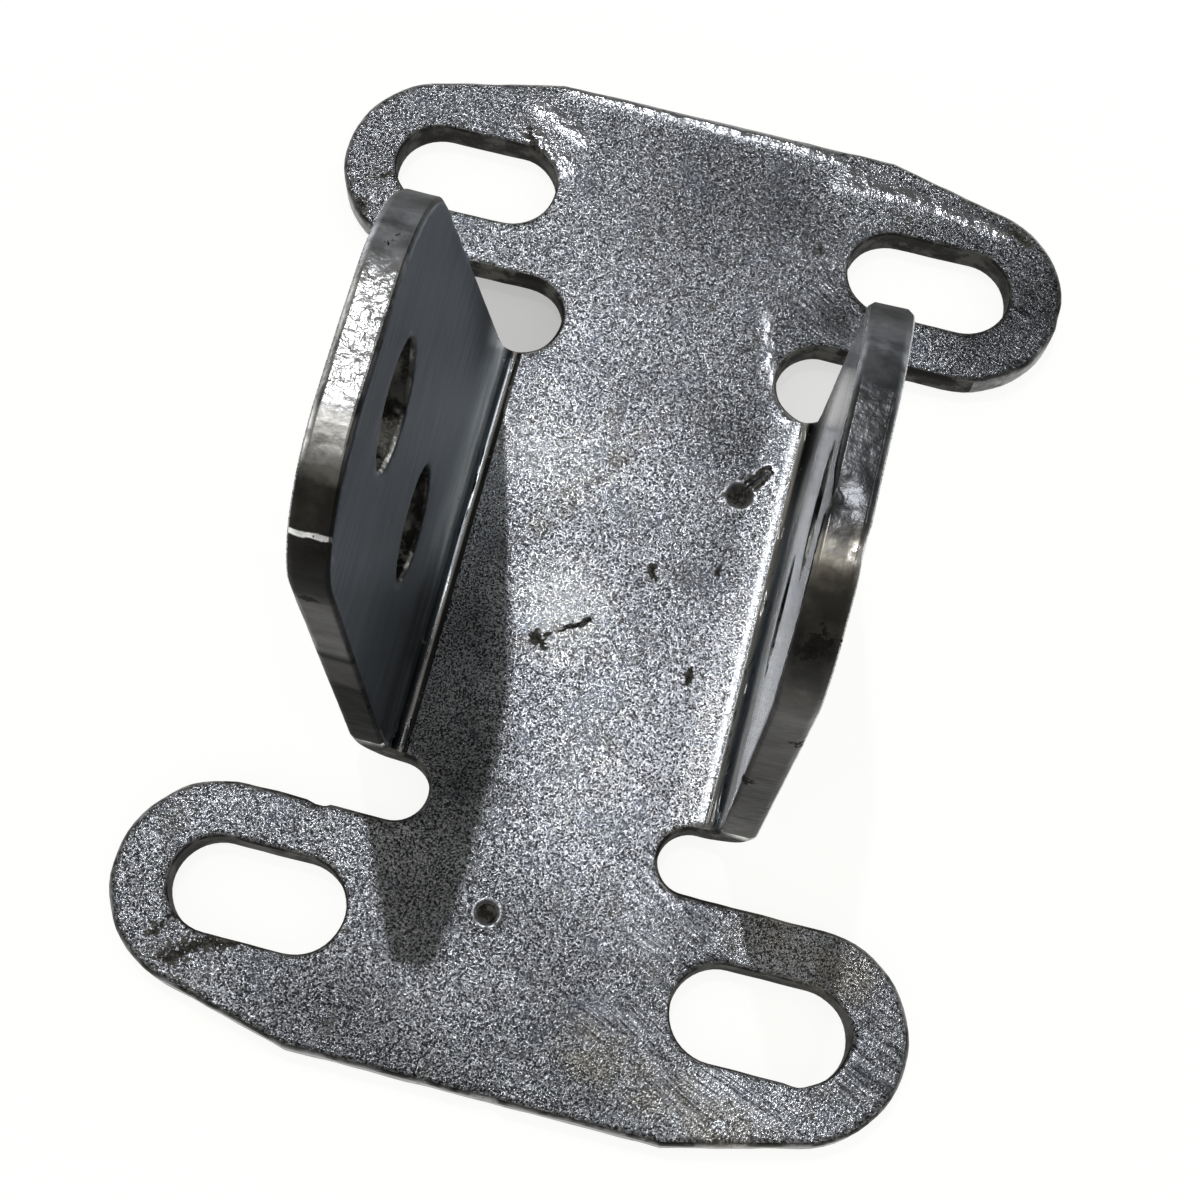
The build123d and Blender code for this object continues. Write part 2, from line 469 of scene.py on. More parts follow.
def wear_height(point, cut, across):
    """How far the zinc stands above or below the plain sheet at a point."""
    height = (waves(point, WAVES) + cut * waves(point, EDGE_WAVES)) * MM
    bead = smooth_step(across, -6 * MM, 0.8 * MM) - 0.4 * smooth_step(across, 1.5 * MM, 2.4 * MM)
    bead -= 0.6 * smooth_step(across, 2.4 * MM, 12 * MM)
    height += BEAD_HEIGHT * bead * (1 - cut)
    for place, radius, lip in (PUNCH_MARK, PIT):
        away = (point - Vector(place) * MM).length / MM
        height += lip * MM * exp(-(((away - radius) / LIP_WIDTH) ** 2))
    for start, end, reach, rise in RIDGES if point.z < FOLD_TOP and cut < 1 else ():
        near = closeness(point, start, end, reach)
        height += rise * MM * near * (1 + waves(point, RIDGE_WAVES)) * (1 - cut)
    for place, reach, depth in DENTS if cut > 0 else ():
        height -= depth * MM * smooth_step(closeness(point, place, place, reach), 0, 1)
    return height


def surface_values(point, depth, cut, across):
    """What the material reads from the mesh at a point: the value of each of its attributes."""
    turn = degrees(atan2(point.z - RIM_CENTRE.y, point.y - RIM_CENTRE.x))
    turn += 360 if turn < RIM_FIRST else 0
    flat_top = point.z < FOLD_TOP and depth > 0 and cut < 1
    # Broad painted light and shade, stored in the tone attribute
    tone = 0.0
    for place, radius, change in PAINTED_LIGHT_AND_TONES if flat_top else ():
        tone += change * closeness(point, place, place, radius)
    return {
        "cut_edge": cut,
        "across": across / MM,
        "inner_side": 1.0 if depth > 0 else 0.0,
        "rim_turn": share_of_rim(turn) if point.z > FOLD_TOP else 1.0,
        "opening": 1.0 if in_opening(point) else 0.0,
        "tone": max(DARKEST_SHADE_AND_TONE, tone),
        "ridge": greatest(point, RIDGES) if flat_top else 0.0,
        "scuff": greatest(point, SCUFF_SPOTS) if flat_top else 0.0,
        "lip": greatest(point, LIPS) if flat_top else 0.0,
    }


def slice_mesh(mesh, axis, place):
    normal = Vector((0, 0, 0))
    normal[axis] = 1
    every = mesh.verts[:] + mesh.edges[:] + mesh.faces[:]
    bmesh.ops.bisect_plane(mesh, geom=every, plane_co=normal * place, plane_no=normal, dist=SLICE_WELD)


def cut_finely(mesh, low, high):
    """Slices the sheet's large flat faces into cells, smaller ones along the folds and at the marks."""
    bmesh.ops.remove_doubles(mesh, verts=mesh.verts, dist=WELD)
    bmesh.ops.dissolve_limit(mesh, angle_limit=FLAT_ANGLE, verts=mesh.verts[:], edges=mesh.edges[:])
    for axis in range(3):
        slices = ceil((high[axis] - low[axis]) / CELL)
        for i in range(1, slices):
            slice_mesh(mesh, axis, low[axis] + (high[axis] - low[axis]) * i / slices)
    for i in range(FOLD_SLICES):
        for side in (-1, 1):
            slice_mesh(mesh, 0, side * (BEND_LINE + (i - 1) * FOLD_CELL))
        slice_mesh(mesh, 2, SHEET + (i + 0.5) * FOLD_CELL)
    marks = [Vector(place) * MM for place, _, _ in (PUNCH_MARK, PIT)]
    near_marks = [
        edge for edge in mesh.edges if min((edge.verts[0].co - mark).length for mark in marks) < MARK_REACH
    ]
    bmesh.ops.subdivide_edges(mesh, edges=near_marks, cuts=MARK_CUTS, use_grid_fill=True)
    bmesh.ops.triangulate(mesh, faces=mesh.faces[:])
    mesh.normal_update()


def worked_sheet(node, name):
    """A finer copy of the folded sheet with its zinc waves, crinkled cut edges and dents."""
    low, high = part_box(node)
    mesh = bmesh.new()
    mesh.from_mesh(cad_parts[node].data)
    cut_finely(mesh, low, high)
    layers = {layer: mesh.verts.layers.float.new(layer) for layer in ATTRIBUTES}
    heights = []
    for vertex in mesh.verts:
        point = vertex.co.copy()
        depth = depth_in_sheet(point)
        cut = min(1, max(0, (SHEET / 2 - abs(depth)) / RIM_BREAK))
        across = across_fold(point)
        for layer, value in surface_values(point, depth, cut, across).items():
            vertex[layers[layer]] = value
        heights.append(wear_height(point, cut, across if depth > 0 else -MM))
    moves = [vertex.normal * height for vertex, height in zip(mesh.verts, heights)]
    for vertex, move in zip(mesh.verts, moves):
        vertex.co += move
        vertex.co.z = max(vertex.co.z, low.z)
    for face in mesh.faces:
        face.smooth = True
    data = bpy.data.meshes.new(name)
    mesh.to_mesh(data)
    mesh.free()
    piece = bpy.data.objects.new(name, data)
    bpy.context.scene.collection.objects.link(piece)
    return piece


# Shader parts


def wire(tree, target, value):
    """Sets an input socket to a value, or links an output socket to it."""
    if isinstance(value, bpy.types.NodeSocket):
        tree.links.new(value, target)
    else:
        target.default_value = value


def add_node(tree, kind, inputs=None, **settings):
    node = tree.nodes.new(kind)
    for name, value in settings.items():
        setattr(node, name, value)
    for name, value in (inputs or {}).items():
        wire(tree, node.inputs[name], value)
    return node


def math_node(tree, operation, first, second=0.0, third=0.0, clamp=False):
    node = add_node(tree, "ShaderNodeMath", operation=operation, use_clamp=clamp)
    for socket, value in zip(node.inputs, (first, second, third)):
        wire(tree, socket, value)
    return node.outputs["Value"]


def vector_node(tree, operation, first, second=(0, 0, 0), output="Vector"):
    node = add_node(tree, "ShaderNodeVectorMath", {0: first, 1: second}, operation=operation)
    return node.outputs[output]


def ramp_value(tree, value, low, high, to_low=0.0, to_high=1.0):
    """Smooth change from to_low to to_high as value goes from low to high."""
    node = add_node(tree, "ShaderNodeMapRange", interpolation_type="SMOOTHSTEP")
    for socket, number in zip(node.inputs, (value, low, high, to_low, to_high)):
        wire(tree, socket, number)
    return node.outputs["Result"]


def banded(tree, value, stops):
    """Colour that changes along value, through stops of place and colour."""
    node = add_node(tree, "ShaderNodeValToRGB", {"Fac": value})
    elements = node.color_ramp.elements
    elements.remove(elements[1])
    elements[0].position, elements[0].color = stops[0][0], (*stops[0][1], 1)
    for place, colour in stops[1:]:
        elements.new(place).color = (*colour, 1)
    return node.outputs["Color"]


def mix_colours(tree, share, first, second, blend="MIX"):
    node = add_node(tree, "ShaderNodeMix", data_type="RGBA", blend_type=blend)
    for index, value in ((0, share), (6, first), (7, second)):
        wire(tree, node.inputs[index], value)
    return node.outputs[2]


def mix_values(tree, share, first, second):
    node = add_node(tree, "ShaderNodeMix", data_type="FLOAT")
    for index, value in ((0, share), (2, first), (3, second)):
        wire(tree, node.inputs[index], value)
    return node.outputs[0]


def noise_value(tree, place, scale, detail=2.0, roughness=0.5, output="Fac"):
    node = add_node(
        tree, "ShaderNodeTexNoise",
        {"Vector": place, "Scale": scale, "Detail": detail, "Roughness": roughness},
    )
    return node.outputs[output]


def stretched(tree, place, lengths, turn=(0, 0, 0)):
    """Coordinates for a texture that is drawn out to the given lengths, in turned directions."""
    node = add_node(
        tree, "ShaderNodeMapping", {"Vector": place, "Scale": lengths, "Rotation": turn},
        vector_type="TEXTURE",
    )
    return node.outputs["Vector"]


def shaken(tree, place, scale, reach, detail=2.0):
    """A place moved at random, by up to about half the reach each way."""
    move = noise_value(tree, place, scale, detail=detail, output="Color")
    move = vector_node(tree, "SUBTRACT", move, (0.5, 0.5, 0.5))
    move = vector_node(tree, "MULTIPLY", move, (reach, reach, reach))
    return vector_node(tree, "ADD", place, move)


def attribute(tree, name):
    return add_node(tree, "ShaderNodeAttribute", attribute_name=name).outputs["Fac"]


def scaled(tree, colour, factor):
    """A colour made lighter or darker by a factor."""
    factor = add_node(tree, "ShaderNodeCombineColor", {"Red": factor, "Green": factor, "Blue": factor})
    result = mix_colours(tree, 1.0, colour, factor.outputs["Color"], "MULTIPLY")
    result.node.clamp_result = True
    return result


def new_group(name, inputs, outputs):
    group = bpy.data.node_groups.new(name, "ShaderNodeTree")
    for socket, kind in inputs:
        group.interface.new_socket(socket, in_out="INPUT", socket_type=kind)
    for socket, kind in outputs:
        group.interface.new_socket(socket, in_out="OUTPUT", socket_type=kind)
    return group, group.nodes.new("NodeGroupInput").outputs, group.nodes.new("NodeGroupOutput").inputs


def zinc_grain_group():
    """Fine pebbled grain of dipped zinc: a tone and a height, each about 0 to 1."""
    group, given, result = new_group(
        "zinc_grain",
        [("Place", "NodeSocketVector"), ("Size", "NodeSocketFloat")],
        [("Tone", "NodeSocketFloat"), ("Height", "NodeSocketFloat")],
    )
    scale = math_node(group, "DIVIDE", 1.0, given["Size"])
    fine = noise_value(group, given["Place"], scale, detail=1.0, roughness=0.5)
    cells = add_node(
        group, "ShaderNodeTexVoronoi",
        {"Vector": given["Place"], "Scale": math_node(group, "MULTIPLY", scale, 0.7)}, feature="F1",
    ).outputs["Distance"]
    both = math_node(group, "MULTIPLY_ADD", cells, 0.25, fine)
    group.links.new(both, result["Height"])
    group.links.new(ramp_value(group, both, 0.48, 0.76), result["Tone"])
    return group


def near_line_group():
    """1 on the line from Start to End, falling to 0 at Reach from it."""
    group, given, result = new_group(
        "near_line",
        [(name, "NodeSocketVector") for name in ("Place", "Start", "End")] + [("Reach", "NodeSocketFloat")],
        [("Closeness", "NodeSocketFloat")],
    )
    along = vector_node(group, "SUBTRACT", given["End"], given["Start"])
    from_start = vector_node(group, "SUBTRACT", given["Place"], given["Start"])
    length = vector_node(group, "DOT_PRODUCT", along, along, "Value")
    share = vector_node(group, "DOT_PRODUCT", from_start, along, "Value")
    share = math_node(group, "DIVIDE", share, math_node(group, "MAXIMUM", length, 1e-12), clamp=True)
    nearest = add_node(group, "ShaderNodeVectorMath", {0: along, "Scale": share}, operation="SCALE")
    away = vector_node(group, "DISTANCE", from_start, nearest.outputs["Vector"], "Value")
    away = math_node(group, "DIVIDE", away, given["Reach"])
    group.links.new(math_node(group, "SUBTRACT", 1.0, away, clamp=True), result["Closeness"])
    return group


def near_lines(tree, near_line, place, lines):
    """How close a place is to the nearest of some lines."""
    best = 0.0
    for start, end, reach in lines:
        inputs = {"Place": place, "Start": Vector(start) * MM, "End": Vector(end) * MM, "Reach": reach * MM}
        near = add_node(tree, "ShaderNodeGroup", inputs, node_tree=near_line)
        best = math_node(tree, "MAXIMUM", near.outputs["Closeness"], best)
    return best


# Materials


class Surface:
    """What the shader knows of a point: its place, and from 0 to 1 how far it is on each kind of face."""

    def __init__(self, tree):
        self.place = tree.nodes.new("ShaderNodeTexCoord").outputs["Object"]
        parts = add_node(tree, "ShaderNodeSeparateXYZ", {"Vector": self.place}).outputs
        self.forward = parts["Y"]
        self.right = math_node(tree, "GREATER_THAN", parts["X"], 0.0)
        self.across = attribute(tree, "across")
        self.patch = noise_value(tree, self.place, 260.0, detail=4.0, roughness=0.6)
        self.fleck = noise_value(tree, self.place, 1100.0, detail=3.0, roughness=0.6)

        self.cut = ramp_value(tree, attribute(tree, "cut_edge"), 0.05, 0.30)
        self.inner_side = ramp_value(tree, attribute(tree, "inner_side"), 0.4, 0.6)
        self.opening = ramp_value(tree, attribute(tree, "opening"), 0.4, 0.6)
        self.standing = ramp_value(tree, self.across, 3.0, 4.5)
        past_bend = math_node(tree, "SUBTRACT", self.across, mix_values(tree, self.right, -0.3, 0.85))
        self.drawn = math_node(tree, "MULTIPLY", ramp_value(tree, past_bend, 0.0, 0.15), self.inner_side)
        crest = ramp_value(tree, self.across, 1.25, 1.5, 1.0, 0.0)
        self.crest = math_node(tree, "MULTIPLY", self.drawn, crest)
        # Painted highlight: a light band along the start of the right fold
        fold_highlight = ramp_value(tree, self.across, -1.0, -0.2, 0.0, 0.6)
        self.fold_highlight = math_node(tree, "MULTIPLY", fold_highlight, self.right)
        ridge = math_node(tree, "MULTIPLY_ADD", self.patch, 0.9, attribute(tree, "ridge"))
        self.ridge = ramp_value(tree, ridge, 0.75, 1.1)
        self.lip = ramp_value(tree, attribute(tree, "lip"), 0.05, 0.30)


def rubbed_zinc(tree, here, tone, height):
    """Fine scratches over the grain: its new tone and height, and how much lighter the colour gets."""
    bent = shaken(tree, here.place, 40.0, 6 * MM)
    scratches = stretched(tree, bent, SCRATCH_SIZE, (0, 0, SCRATCH_TURN))
    scratches = noise_value(tree, scratches, 1.0, detail=3.0, roughness=0.65)
    patches = ramp_value(tree, noise_value(tree, bent, 150.0), 0.40, 0.58, 0.35, 1.0)
    scuff = math_node(tree, "MULTIPLY", ramp_value(tree, attribute(tree, "scuff"), 0.0, 0.6), patches)
    lighter = mix_values(tree, scuff, 1.0, ramp_value(tree, scratches, 0.36, 0.66, 0.58, 1.30))
    share = math_node(tree, "MULTIPLY", scuff, 0.5)
    tone = mix_values(tree, share, tone, ramp_value(tree, scratches, 0.38, 0.64))
    return tone, mix_values(tree, share, height, scratches), lighter


def plate_colour(tree, here, tone, scratch):
    """Grainy zinc with bluish and brownish blotches, broad painted light and shade, and a painted highlight
    towards the right fold, paler on ridges and lips.
    """
    colour = mix_colours(tree, tone, DARK_GRAIN, LIGHT_GRAIN)
    blue = noise_value(tree, here.place, 150.0, detail=5.0, roughness=0.65)
    colour = mix_colours(tree, ramp_value(tree, blue, 0.52, 0.66, 0.0, 0.35), colour, BLUISH)
    brown = stretched(tree, here.place, (6 * MM, 9 * MM, 9 * MM))
    brown = noise_value(tree, brown, 1.0, detail=5.0, roughness=0.6)
    colour = mix_colours(tree, ramp_value(tree, brown, 0.56, 0.70, 0.0, 0.35), colour, BROWNISH)
    # Broad painted light and shade from the tone attribute, lightening and darkening the plate
    lighter = attribute(tree, "tone")
    colour = mix_colours(tree, ramp_value(tree, lighter, 0.3, 1.5, 0.0, 0.3), colour, LIGHT_GRAIN)
    colour = scaled(tree, colour, scratch)
    colour = scaled(tree, colour, math_node(tree, "ADD", 1.0, lighter))
    # Painted highlight on the plate just before the right fold
    shoulder_highlight = math_node(tree, "MULTIPLY", ramp_value(tree, here.across, -6.0, -2.0), here.right)
    colour = scaled(tree, colour, math_node(tree, "MULTIPLY_ADD", shoulder_highlight, 0.8, 1.0))
    colour = mix_colours(tree, here.fold_highlight, colour, FOLD_HIGHLIGHT)
    colour = mix_colours(tree, here.ridge, colour, CRINKLED)
    return mix_colours(tree, here.lip, colour, SMOOTH_LIP)


def inner_face_colour(tree, here, streaks):
    """Smooth drawn zinc inside the flanges, in bands of painted highlight, reflection and shade along the
    folds, darker towards one end in painted shade.
    """
    place = math_node(tree, "MAXIMUM", math_node(tree, "MULTIPLY", here.across, 0.01), 0.0)
    place = math_node(tree, "SQRT", place)
    # Bands of painted highlight, reflection and shade up each inner face
    sides = [
        banded(tree, place, [((distance / 100) ** 0.5, colour) for distance, colour in table])
        for table in (LEFT_INNER_PAINTED_LIGHT, RIGHT_INNER_PAINTED_LIGHT)
    ]
    low = ramp_value(tree, here.across, 10.0, 20.0, 1.0, 0.0)
    low = math_node(tree, "MULTIPLY", low, ramp_value(tree, here.across, 1.4, 2.2))
    # Painted shade: the left face darker towards its back and near its front top
    left_painted_shade = ramp_value(tree, here.forward, -16 * MM, 2 * MM, 0.25, 1.0)
    left_painted_shade = mix_values(tree, low, 1.0, left_painted_shade)
    near_front = ramp_value(tree, here.forward, 15 * MM, 25 * MM)
    near_front = math_node(tree, "MULTIPLY", near_front, ramp_value(tree, here.across, 14.0, 24.0))
    left_painted_shade = mix_values(tree, near_front, left_painted_shade, 0.32)
    # Painted shade: the right face darker towards its front
    high_painted_shade = ramp_value(tree, here.forward, -4 * MM, 20 * MM, 1.0, 0.22)
    low_painted_shade = ramp_value(tree, here.forward, 8 * MM, 26 * MM, 1.0, 0.05)
    right_painted_shade = mix_values(tree, low, high_painted_shade, low_painted_shade)
    right_painted_shade = mix_values(tree, ramp_value(tree, here.across, 1.5, 2.1), 1.0, right_painted_shade)
    painted_shade = mix_values(tree, here.right, left_painted_shade, right_painted_shade)
    colour = scaled(tree, mix_colours(tree, here.right, *sides), painted_shade)
    rubbed = stretched(tree, here.place, RUB_SIZE, (RUB_TURN, 0, 0))
    rubbed = ramp_value(tree, noise_value(tree, rubbed, 1.0), 0.58, 0.68)
    rubbed_patches = ramp_value(tree, noise_value(tree, here.place, 60.0), 0.48, 0.60)
    rubbed = math_node(tree, "MULTIPLY", rubbed, rubbed_patches)
    colour = scaled(tree, colour, math_node(tree, "MULTIPLY_ADD", rubbed, -0.6, 1.0))
    return scaled(tree, colour, ramp_value(tree, streaks, 0.3, 0.7, 0.75, 1.2))


def rim_look(tree, here):
    """Colour of the flanges' rims, with painted highlights near the top and painted shade lower down, how
    strongly the zinc is crinkled there and how sooty it is.
    """
    wander = noise_value(tree, here.place, 350.0, detail=3.0)
    wander = math_node(tree, "SUBTRACT", wander, 0.5)
    turn = math_node(tree, "MULTIPLY_ADD", wander, 0.010, attribute(tree, "rim_turn"))
    # Painted highlight: a thin bright line along a ridge of the left rim, kept clear of soot
    from_glint = math_node(tree, "MULTIPLY_ADD", wander, 0.004, attribute(tree, "rim_turn"))
    from_glint = math_node(tree, "SUBTRACT", from_glint, share_of_rim(RIM_GLINT))
    on_glint = ramp_value(tree, math_node(tree, "ABSOLUTE", from_glint), 0.0008, 0.0016, 1.0, 0.0)
    on_glint = math_node(tree, "SUBTRACT", on_glint, here.right, clamp=True)
    looks = []
    for table in (LEFT_RIM, RIGHT_RIM):
        # Grey levels along each rim, painted highlight and shade among them
        greys = [
            (share_of_rim(angle), (grey * (1 + warmth / 2), grey, grey * (1 - warmth)))
            for angle, grey, warmth, _, _ in table
        ]
        details = [(share_of_rim(angle), (crinkled, sooty, 0.0)) for angle, _, _, crinkled, sooty in table]
        looks.append([banded(tree, turn, stops) for stops in (greys, details)])
    colour, detail = (mix_colours(tree, here.right, *pair) for pair in zip(*looks))
    colour = mix_colours(tree, on_glint, colour, RIM_GLINT_COLOUR)
    detail = add_node(tree, "ShaderNodeSeparateColor", {"Color": detail}).outputs
    return colour, detail["Red"], math_node(tree, "SUBTRACT", detail["Green"], on_glint, clamp=True)


def edge_colour(tree, here, rim):
    """Cut edges: banded on the flanges, plain round the plate, and in painted shade inside the openings with
    patches of painted light on the walls.
    """
    rim = scaled(tree, rim, ramp_value(tree, here.patch, 0.35, 0.65, 0.65, 1.35))
    # Painted shade along the arris between the cut edge and the inner face, strongest on the left flange
    inner_arris_shade = ramp_value(tree, attribute(tree, "cut_edge"), 0.75, 0.95, 1.0, 0.0)
    inner_arris_shade = math_node(tree, "MULTIPLY", inner_arris_shade, here.inner_side)
    rim = scaled(tree, rim, mix_values(tree, inner_arris_shade, 1.0, mix_values(tree, here.right, 0.15, 0.8)))
    plate_edge = mix_colours(tree, ramp_value(tree, here.patch, 0.40, 0.60), DARK_EDGE, LIGHT_EDGE)
    # Painted light: patches where light through the flange holes falls on their walls, mostly on the back
    # half
    hole_lit_patches = ramp_value(tree, here.patch, 0.43, 0.57, 0.04, 1.0)
    back_half = ramp_value(tree, here.forward, HOLE_Y - 3 * MM, HOLE_Y + 4 * MM, 1.0, 0.15)
    hole_lit_patches = math_node(tree, "MULTIPLY", hole_lit_patches, back_half)
    # Painted light: faint patches on the slot walls
    slot_lit_patches = ramp_value(tree, here.patch, 0.46, 0.62, 0.0, 0.14)
    wall = mix_colours(tree, mix_values(tree, here.standing, slot_lit_patches, hole_lit_patches), SHADED_WALL, LIT_WALL)
    edge = mix_colours(tree, here.standing, plate_edge, rim)
    return mix_colours(tree, here.opening, edge, wall)


def soiled(tree, here, near_line, tone, colour):
    """Brown stains, dark dirt and cracks over a colour, and how much dirt there is."""
    ragged = shaken(tree, here.place, 500.0, 1.2 * MM, detail=3.0)
    stains = ramp_value(tree, near_lines(tree, near_line, ragged, STAINS), 0.0, 0.8, 0.0, 0.5)
    stains = math_node(tree, "MULTIPLY", stains, ramp_value(tree, here.patch, 0.34, 0.60))
    colour = mix_colours(tree, stains, colour, mix_colours(tree, tone, DARK_STAIN, LIGHT_STAIN))
    near_dirt = near_lines(tree, near_line, ragged, DIRT)
    dirt = ramp_value(tree, math_node(tree, "MULTIPLY_ADD", here.fleck, 3.0, near_dirt), 1.85, 2.15)
    cracks = math_node(tree, "MULTIPLY_ADD", here.fleck, 1.6, near_lines(tree, near_line, ragged, CRACKS))
    dirt = math_node(tree, "MAXIMUM", dirt, ramp_value(tree, cracks, 1.10, 1.30))
    speckled = math_node(tree, "SUBTRACT", 1.0, here.standing)
    speckled = math_node(tree, "MAXIMUM", ramp_value(tree, near_dirt, 0.0, 0.1), speckled)
    dirt = math_node(tree, "MULTIPLY", dirt, speckled)
    dirt_colour = mix_colours(tree, ramp_value(tree, here.fleck, 0.45, 0.62), DARK_DIRT, LIGHT_DIRT)
    dirt_colour = scaled(tree, dirt_colour, mix_values(tree, here.standing, 1.0, 0.1))
    return mix_colours(tree, dirt, colour, dirt_colour), dirt


def dullness(tree, here, soot, dirt):
    """How far the zinc has lost its shine, to soot on the rims, in the slots, at the front and to dirt."""
    sooty = math_node(tree, "MULTIPLY", math_node(tree, "MULTIPLY", soot, here.standing), here.cut)
    sooty = math_node(tree, "MULTIPLY", sooty, math_node(tree, "SUBTRACT", 1.0, here.opening))
    slot_wall = math_node(tree, "MULTIPLY", math_node(tree, "MULTIPLY", here.opening, here.cut), 0.9)
    slot_wall = math_node(tree, "MULTIPLY", slot_wall, math_node(tree, "SUBTRACT", 1.0, here.standing))
    left_front = ramp_value(tree, here.across, 16.0, 26.0, 0.0, 0.6)
    right_front = ramp_value(tree, here.across, 18.0, 30.0, 0.8, 0.35)
    right_front = math_node(tree, "MULTIPLY", right_front, ramp_value(tree, here.across, 2.8, 4.2))
    front = math_node(tree, "MULTIPLY", here.drawn, ramp_value(tree, here.forward, 10 * MM, 24 * MM))
    front = math_node(tree, "MULTIPLY", front, mix_values(tree, here.right, left_front, right_front))
    worst = math_node(tree, "MAXIMUM", sooty, math_node(tree, "MAXIMUM", slot_wall, front))
    return math_node(tree, "MAXIMUM", dirt, worst)


def chalkiness(tree, here):
    """How chalky the inner faces are: low down, to the back on the right and to the front on the left."""
    right = ramp_value(tree, here.forward, -14 * MM, 10 * MM, 0.95, 0.05)
    right = math_node(tree, "MULTIPLY", right, ramp_value(tree, here.across, 3.6, 9.0))
    right = math_node(tree, "MULTIPLY", right, ramp_value(tree, here.across, 18.0, 30.0, 1.0, 0.0))
    left = ramp_value(tree, here.forward, -12 * MM, 4 * MM, 0.0, 0.35)
    left = math_node(tree, "MULTIPLY", left, ramp_value(tree, here.across, 2.2, 3.6))
    left = math_node(tree, "MULTIPLY", left, ramp_value(tree, here.across, 7.0, 12.0, 1.0, 0.0))
    return math_node(tree, "MULTIPLY", mix_values(tree, here.right, left, right), here.drawn)


def face_roughness(tree, here, tone, dull):
    """Roughness of the plate, the inner faces, the folds' crests, ridges, cut edges and dull places."""
    inner_face = ramp_value(tree, here.across, 4.0, 11.0, 0.34, 0.17)
    inner_face = mix_values(tree, here.right, 0.40, inner_face)
    rough = mix_values(tree, here.drawn, ramp_value(tree, tone, 0, 1, 0.34, 0.26), inner_face)
    rough = mix_values(tree, here.crest, rough, mix_values(tree, here.right, 0.16, 0.34))
    for share, value in ((here.ridge, 0.22), (here.cut, 0.30), (dull, 0.75)):
        rough = mix_values(tree, share, rough, value)
    return rough


def face_relief(tree, here, height, streaks, rim_crinkle):
    """Fine height of the zinc: grain, crinkles on ridges and cut edges, streaks on the inner faces."""
    crinkle = noise_value(tree, here.place, 620.0, detail=3.0)
    edge_crinkle = math_node(tree, "MULTIPLY", crinkle, mix_values(tree, here.standing, 0.9, rim_crinkle))
    relief = mix_values(tree, attribute(tree, "ridge"), height, math_node(tree, "MULTIPLY", crinkle, 3.0))
    relief = mix_values(tree, math_node(tree, "MAXIMUM", here.lip, here.fold_highlight), relief, 0.5)
    relief = mix_values(tree, here.drawn, relief, math_node(tree, "MULTIPLY", streaks, 0.12))
    return mix_values(tree, here.cut, relief, math_node(tree, "MULTIPLY", edge_crinkle, 1.4))


def galvanised_material(grain, near_line):
    """Dull dipped zinc: grainy on the plate, drawn smooth inside the flanges, mottled on cut edges."""
    material = bpy.data.materials.new("galvanised_sheet")
    material.use_nodes = True
    tree = material.node_tree
    shader = tree.nodes["Principled BSDF"].inputs
    here = Surface(tree)
    grains = add_node(tree, "ShaderNodeGroup", {"Place": here.place, "Size": GRAIN}, node_tree=grain).outputs
    tone, height, scratch = rubbed_zinc(tree, here, grains["Tone"], grains["Height"])
    streaks = stretched(tree, here.place, STREAK_SIZE, (STREAK_TURN, 0, 0))
    streaks = noise_value(tree, streaks, 1.0, detail=3.0)
    rim, rim_crinkle, soot = rim_look(tree, here)

    plate = plate_colour(tree, here, tone, scratch)
    colour = mix_colours(tree, here.drawn, plate, inner_face_colour(tree, here, streaks))
    colour = mix_colours(tree, here.cut, colour, edge_colour(tree, here, rim))
    colour, dirt = soiled(tree, here, near_line, tone, colour)
    dull = dullness(tree, here, soot, dirt)
    plain = math_node(tree, "MAXIMUM", dull, chalkiness(tree, here))
    relief = face_relief(tree, here, height, streaks, rim_crinkle)
    bump = add_node(tree, "ShaderNodeBump", {"Strength": 1.0, "Distance": GRAIN_DEPTH, "Height": relief})

    wire(tree, shader["Base Color"], colour)
    wire(tree, shader["Metallic"], math_node(tree, "SUBTRACT", 1.0, plain))
    wire(tree, shader["Roughness"], face_roughness(tree, here, tone, dull))
    wire(tree, shader["Specular IOR Level"], mix_values(tree, dull, 0.5, 0.12))
    wire(tree, shader["Normal"], bump.outputs["Normal"])
    return material


# Stage


def seen_directly(tree):
    """1 for rays from the camera, and for those that metal or glass sends on."""
    path = tree.nodes.new("ShaderNodeLightPath").outputs
    sent_on = math_node(tree, "MAXIMUM", path["Is Glossy Ray"], path["Is Transmission Ray"])
    return math_node(tree, "MAXIMUM", path["Is Camera Ray"], sent_on)


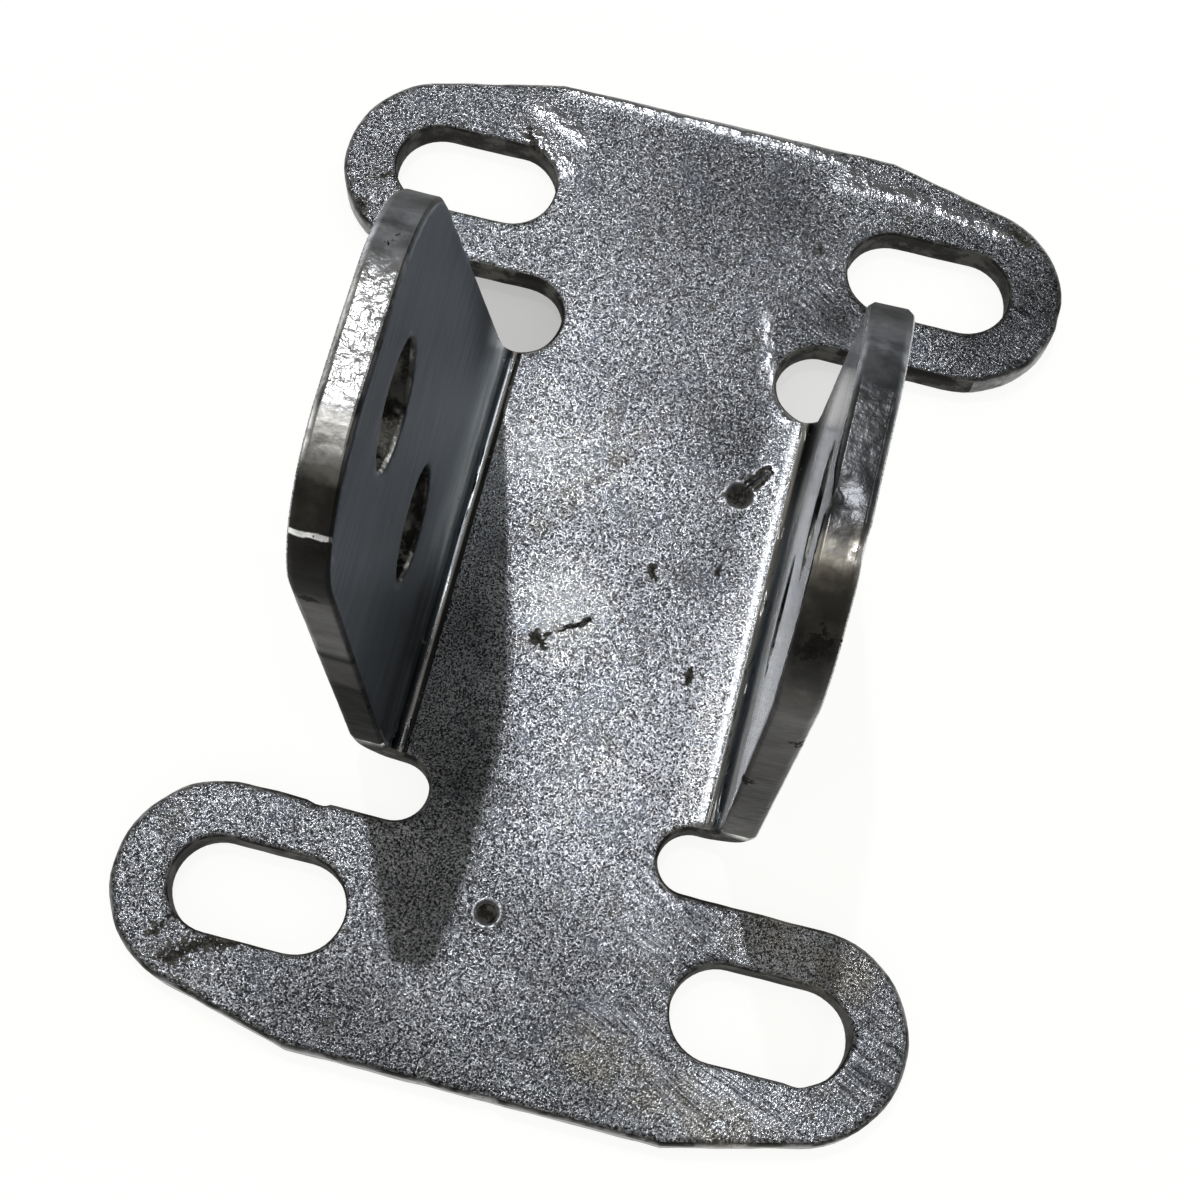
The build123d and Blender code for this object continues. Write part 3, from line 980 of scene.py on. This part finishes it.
def make_floor():
    """Pale table under the bracket: white to the eye, with painted shade under the front end of each fold.
    """
    mesh = bmesh.new()
    bmesh.ops.create_grid(mesh, x_segments=1, y_segments=1, size=FLOOR_HALF)
    data = bpy.data.meshes.new("floor")
    mesh.to_mesh(data)
    mesh.free()
    floor = bpy.data.objects.new("floor", data)
    bpy.context.scene.collection.objects.link(floor)
    material = bpy.data.materials.new("floor_white")
    material.use_nodes = True
    tree = material.node_tree
    tree.nodes.remove(tree.nodes["Principled BSDF"])
    diffuse = add_node(tree, "ShaderNodeBsdfDiffuse", {"Color": FLOOR_COLOUR})
    parts = tree.nodes.new("ShaderNodeTexCoord").outputs["Object"]
    parts = add_node(tree, "ShaderNodeSeparateXYZ", {"Vector": parts}).outputs
    ahead = math_node(tree, "ABSOLUTE", math_node(tree, "SUBTRACT", parts["Y"], SHADE_PLACE.y))
    ahead = math_node(tree, "MULTIPLY", ahead, 1.3)
    strength = GLOW_STRENGTH
    # Painted shade: the floor's glow dimmed under the front end of each fold
    for side, shade in ((-1, SHADE_LEFT), (1, SHADE_RIGHT)):
        beside = math_node(tree, "SUBTRACT", parts["X"], side * SHADE_PLACE.x)
        away = math_node(tree, "MAXIMUM", math_node(tree, "ABSOLUTE", beside), ahead)
        under = ramp_value(tree, away, SHADE_INNER, SHADE_OUTER, 1 - shade, 1.0)
        strength = math_node(tree, "MULTIPLY", strength, under)
    glow = add_node(tree, "ShaderNodeEmission", {"Color": GLOW_COLOUR, "Strength": strength})
    share = math_node(tree, "MULTIPLY", seen_directly(tree), GLOW_SHARE)
    mixed = add_node(
        tree, "ShaderNodeMixShader", {0: share, 1: diffuse.outputs["BSDF"], 2: glow.outputs["Emission"]}
    )
    wire(tree, tree.nodes["Material Output"].inputs["Surface"], mixed.outputs["Shader"])
    data.materials.append(material)


def make_world():
    """Backdrop, white to the camera. The metal sees it paler near the horizon and in a patch overhead."""
    world = bpy.data.worlds.new("studio")
    bpy.context.scene.world = world
    world.use_nodes = True
    tree = world.node_tree
    background = tree.nodes["Background"].inputs
    direction = tree.nodes.new("ShaderNodeTexCoord").outputs["Generated"]
    up = add_node(tree, "ShaderNodeSeparateXYZ", {"Vector": direction}).outputs["Z"]
    path = tree.nodes.new("ShaderNodeLightPath").outputs
    ceiling = ramp_value(tree, up, 0.05, 0.6, HORIZON_STRENGTH, CEILING_STRENGTH)
    overhead = vector_node(tree, "DOT_PRODUCT", direction, OVERHEAD_DIRECTION.normalized(), "Value")
    overhead = ramp_value(tree, overhead, OVERHEAD_EDGE, OVERHEAD_FULL, 0.0, OVERHEAD_STRENGTH)
    ceiling = math_node(tree, "ADD", ceiling, overhead)
    strength = mix_values(tree, path["Is Glossy Ray"], ROOM_STRENGTH, ceiling)
    strength = math_node(tree, "MAXIMUM", path["Is Camera Ray"], strength)
    wire(tree, background["Color"], mix_colours(tree, path["Is Camera Ray"], ROOM_COLOUR, (1, 1, 1, 1)))
    wire(tree, background["Strength"], strength)


def make_far_lamp(name, direction, width, strength, colour):
    """A lamp far away in a direction, as wide as seen from the bracket."""
    lamp = bpy.data.lights.new(name, "SUN")
    lamp.angle = width
    lamp.energy = strength
    lamp.color = colour
    holder = bpy.data.objects.new(name, lamp)
    holder.rotation_euler = direction.to_track_quat("Z", "Y").to_euler()
    bpy.context.scene.collection.objects.link(holder)


def make_camera():
    lens = bpy.data.cameras.new("camera")
    lens.sensor_fit = "HORIZONTAL"
    lens.sensor_width = CAMERA_SENSOR
    lens.lens = CAMERA_LENS
    lens.clip_start = CAMERA_NEAR
    camera = bpy.data.objects.new("camera", lens)
    camera.location = CAMERA_PLACE
    camera.rotation_euler = CAMERA_TURN
    bpy.context.scene.collection.objects.link(camera)
    bpy.context.scene.camera = camera


# Build


bpy.context.scene.view_settings.view_transform = "Standard"
make_camera()
make_world()
make_far_lamp("key", KEY_DIRECTION, KEY_WIDTH, KEY_STRENGTH, KEY_COLOUR)
make_far_lamp("window", WINDOW_DIRECTION, WINDOW_WIDTH, WINDOW_STRENGTH, WINDOW_COLOUR)
make_floor()

sheet = worked_sheet("bracket", "folded_sheet")
sheet.data.materials.append(galvanised_material(zinc_grain_group(), near_line_group()))
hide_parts("bracket")
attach(sheet, "root")
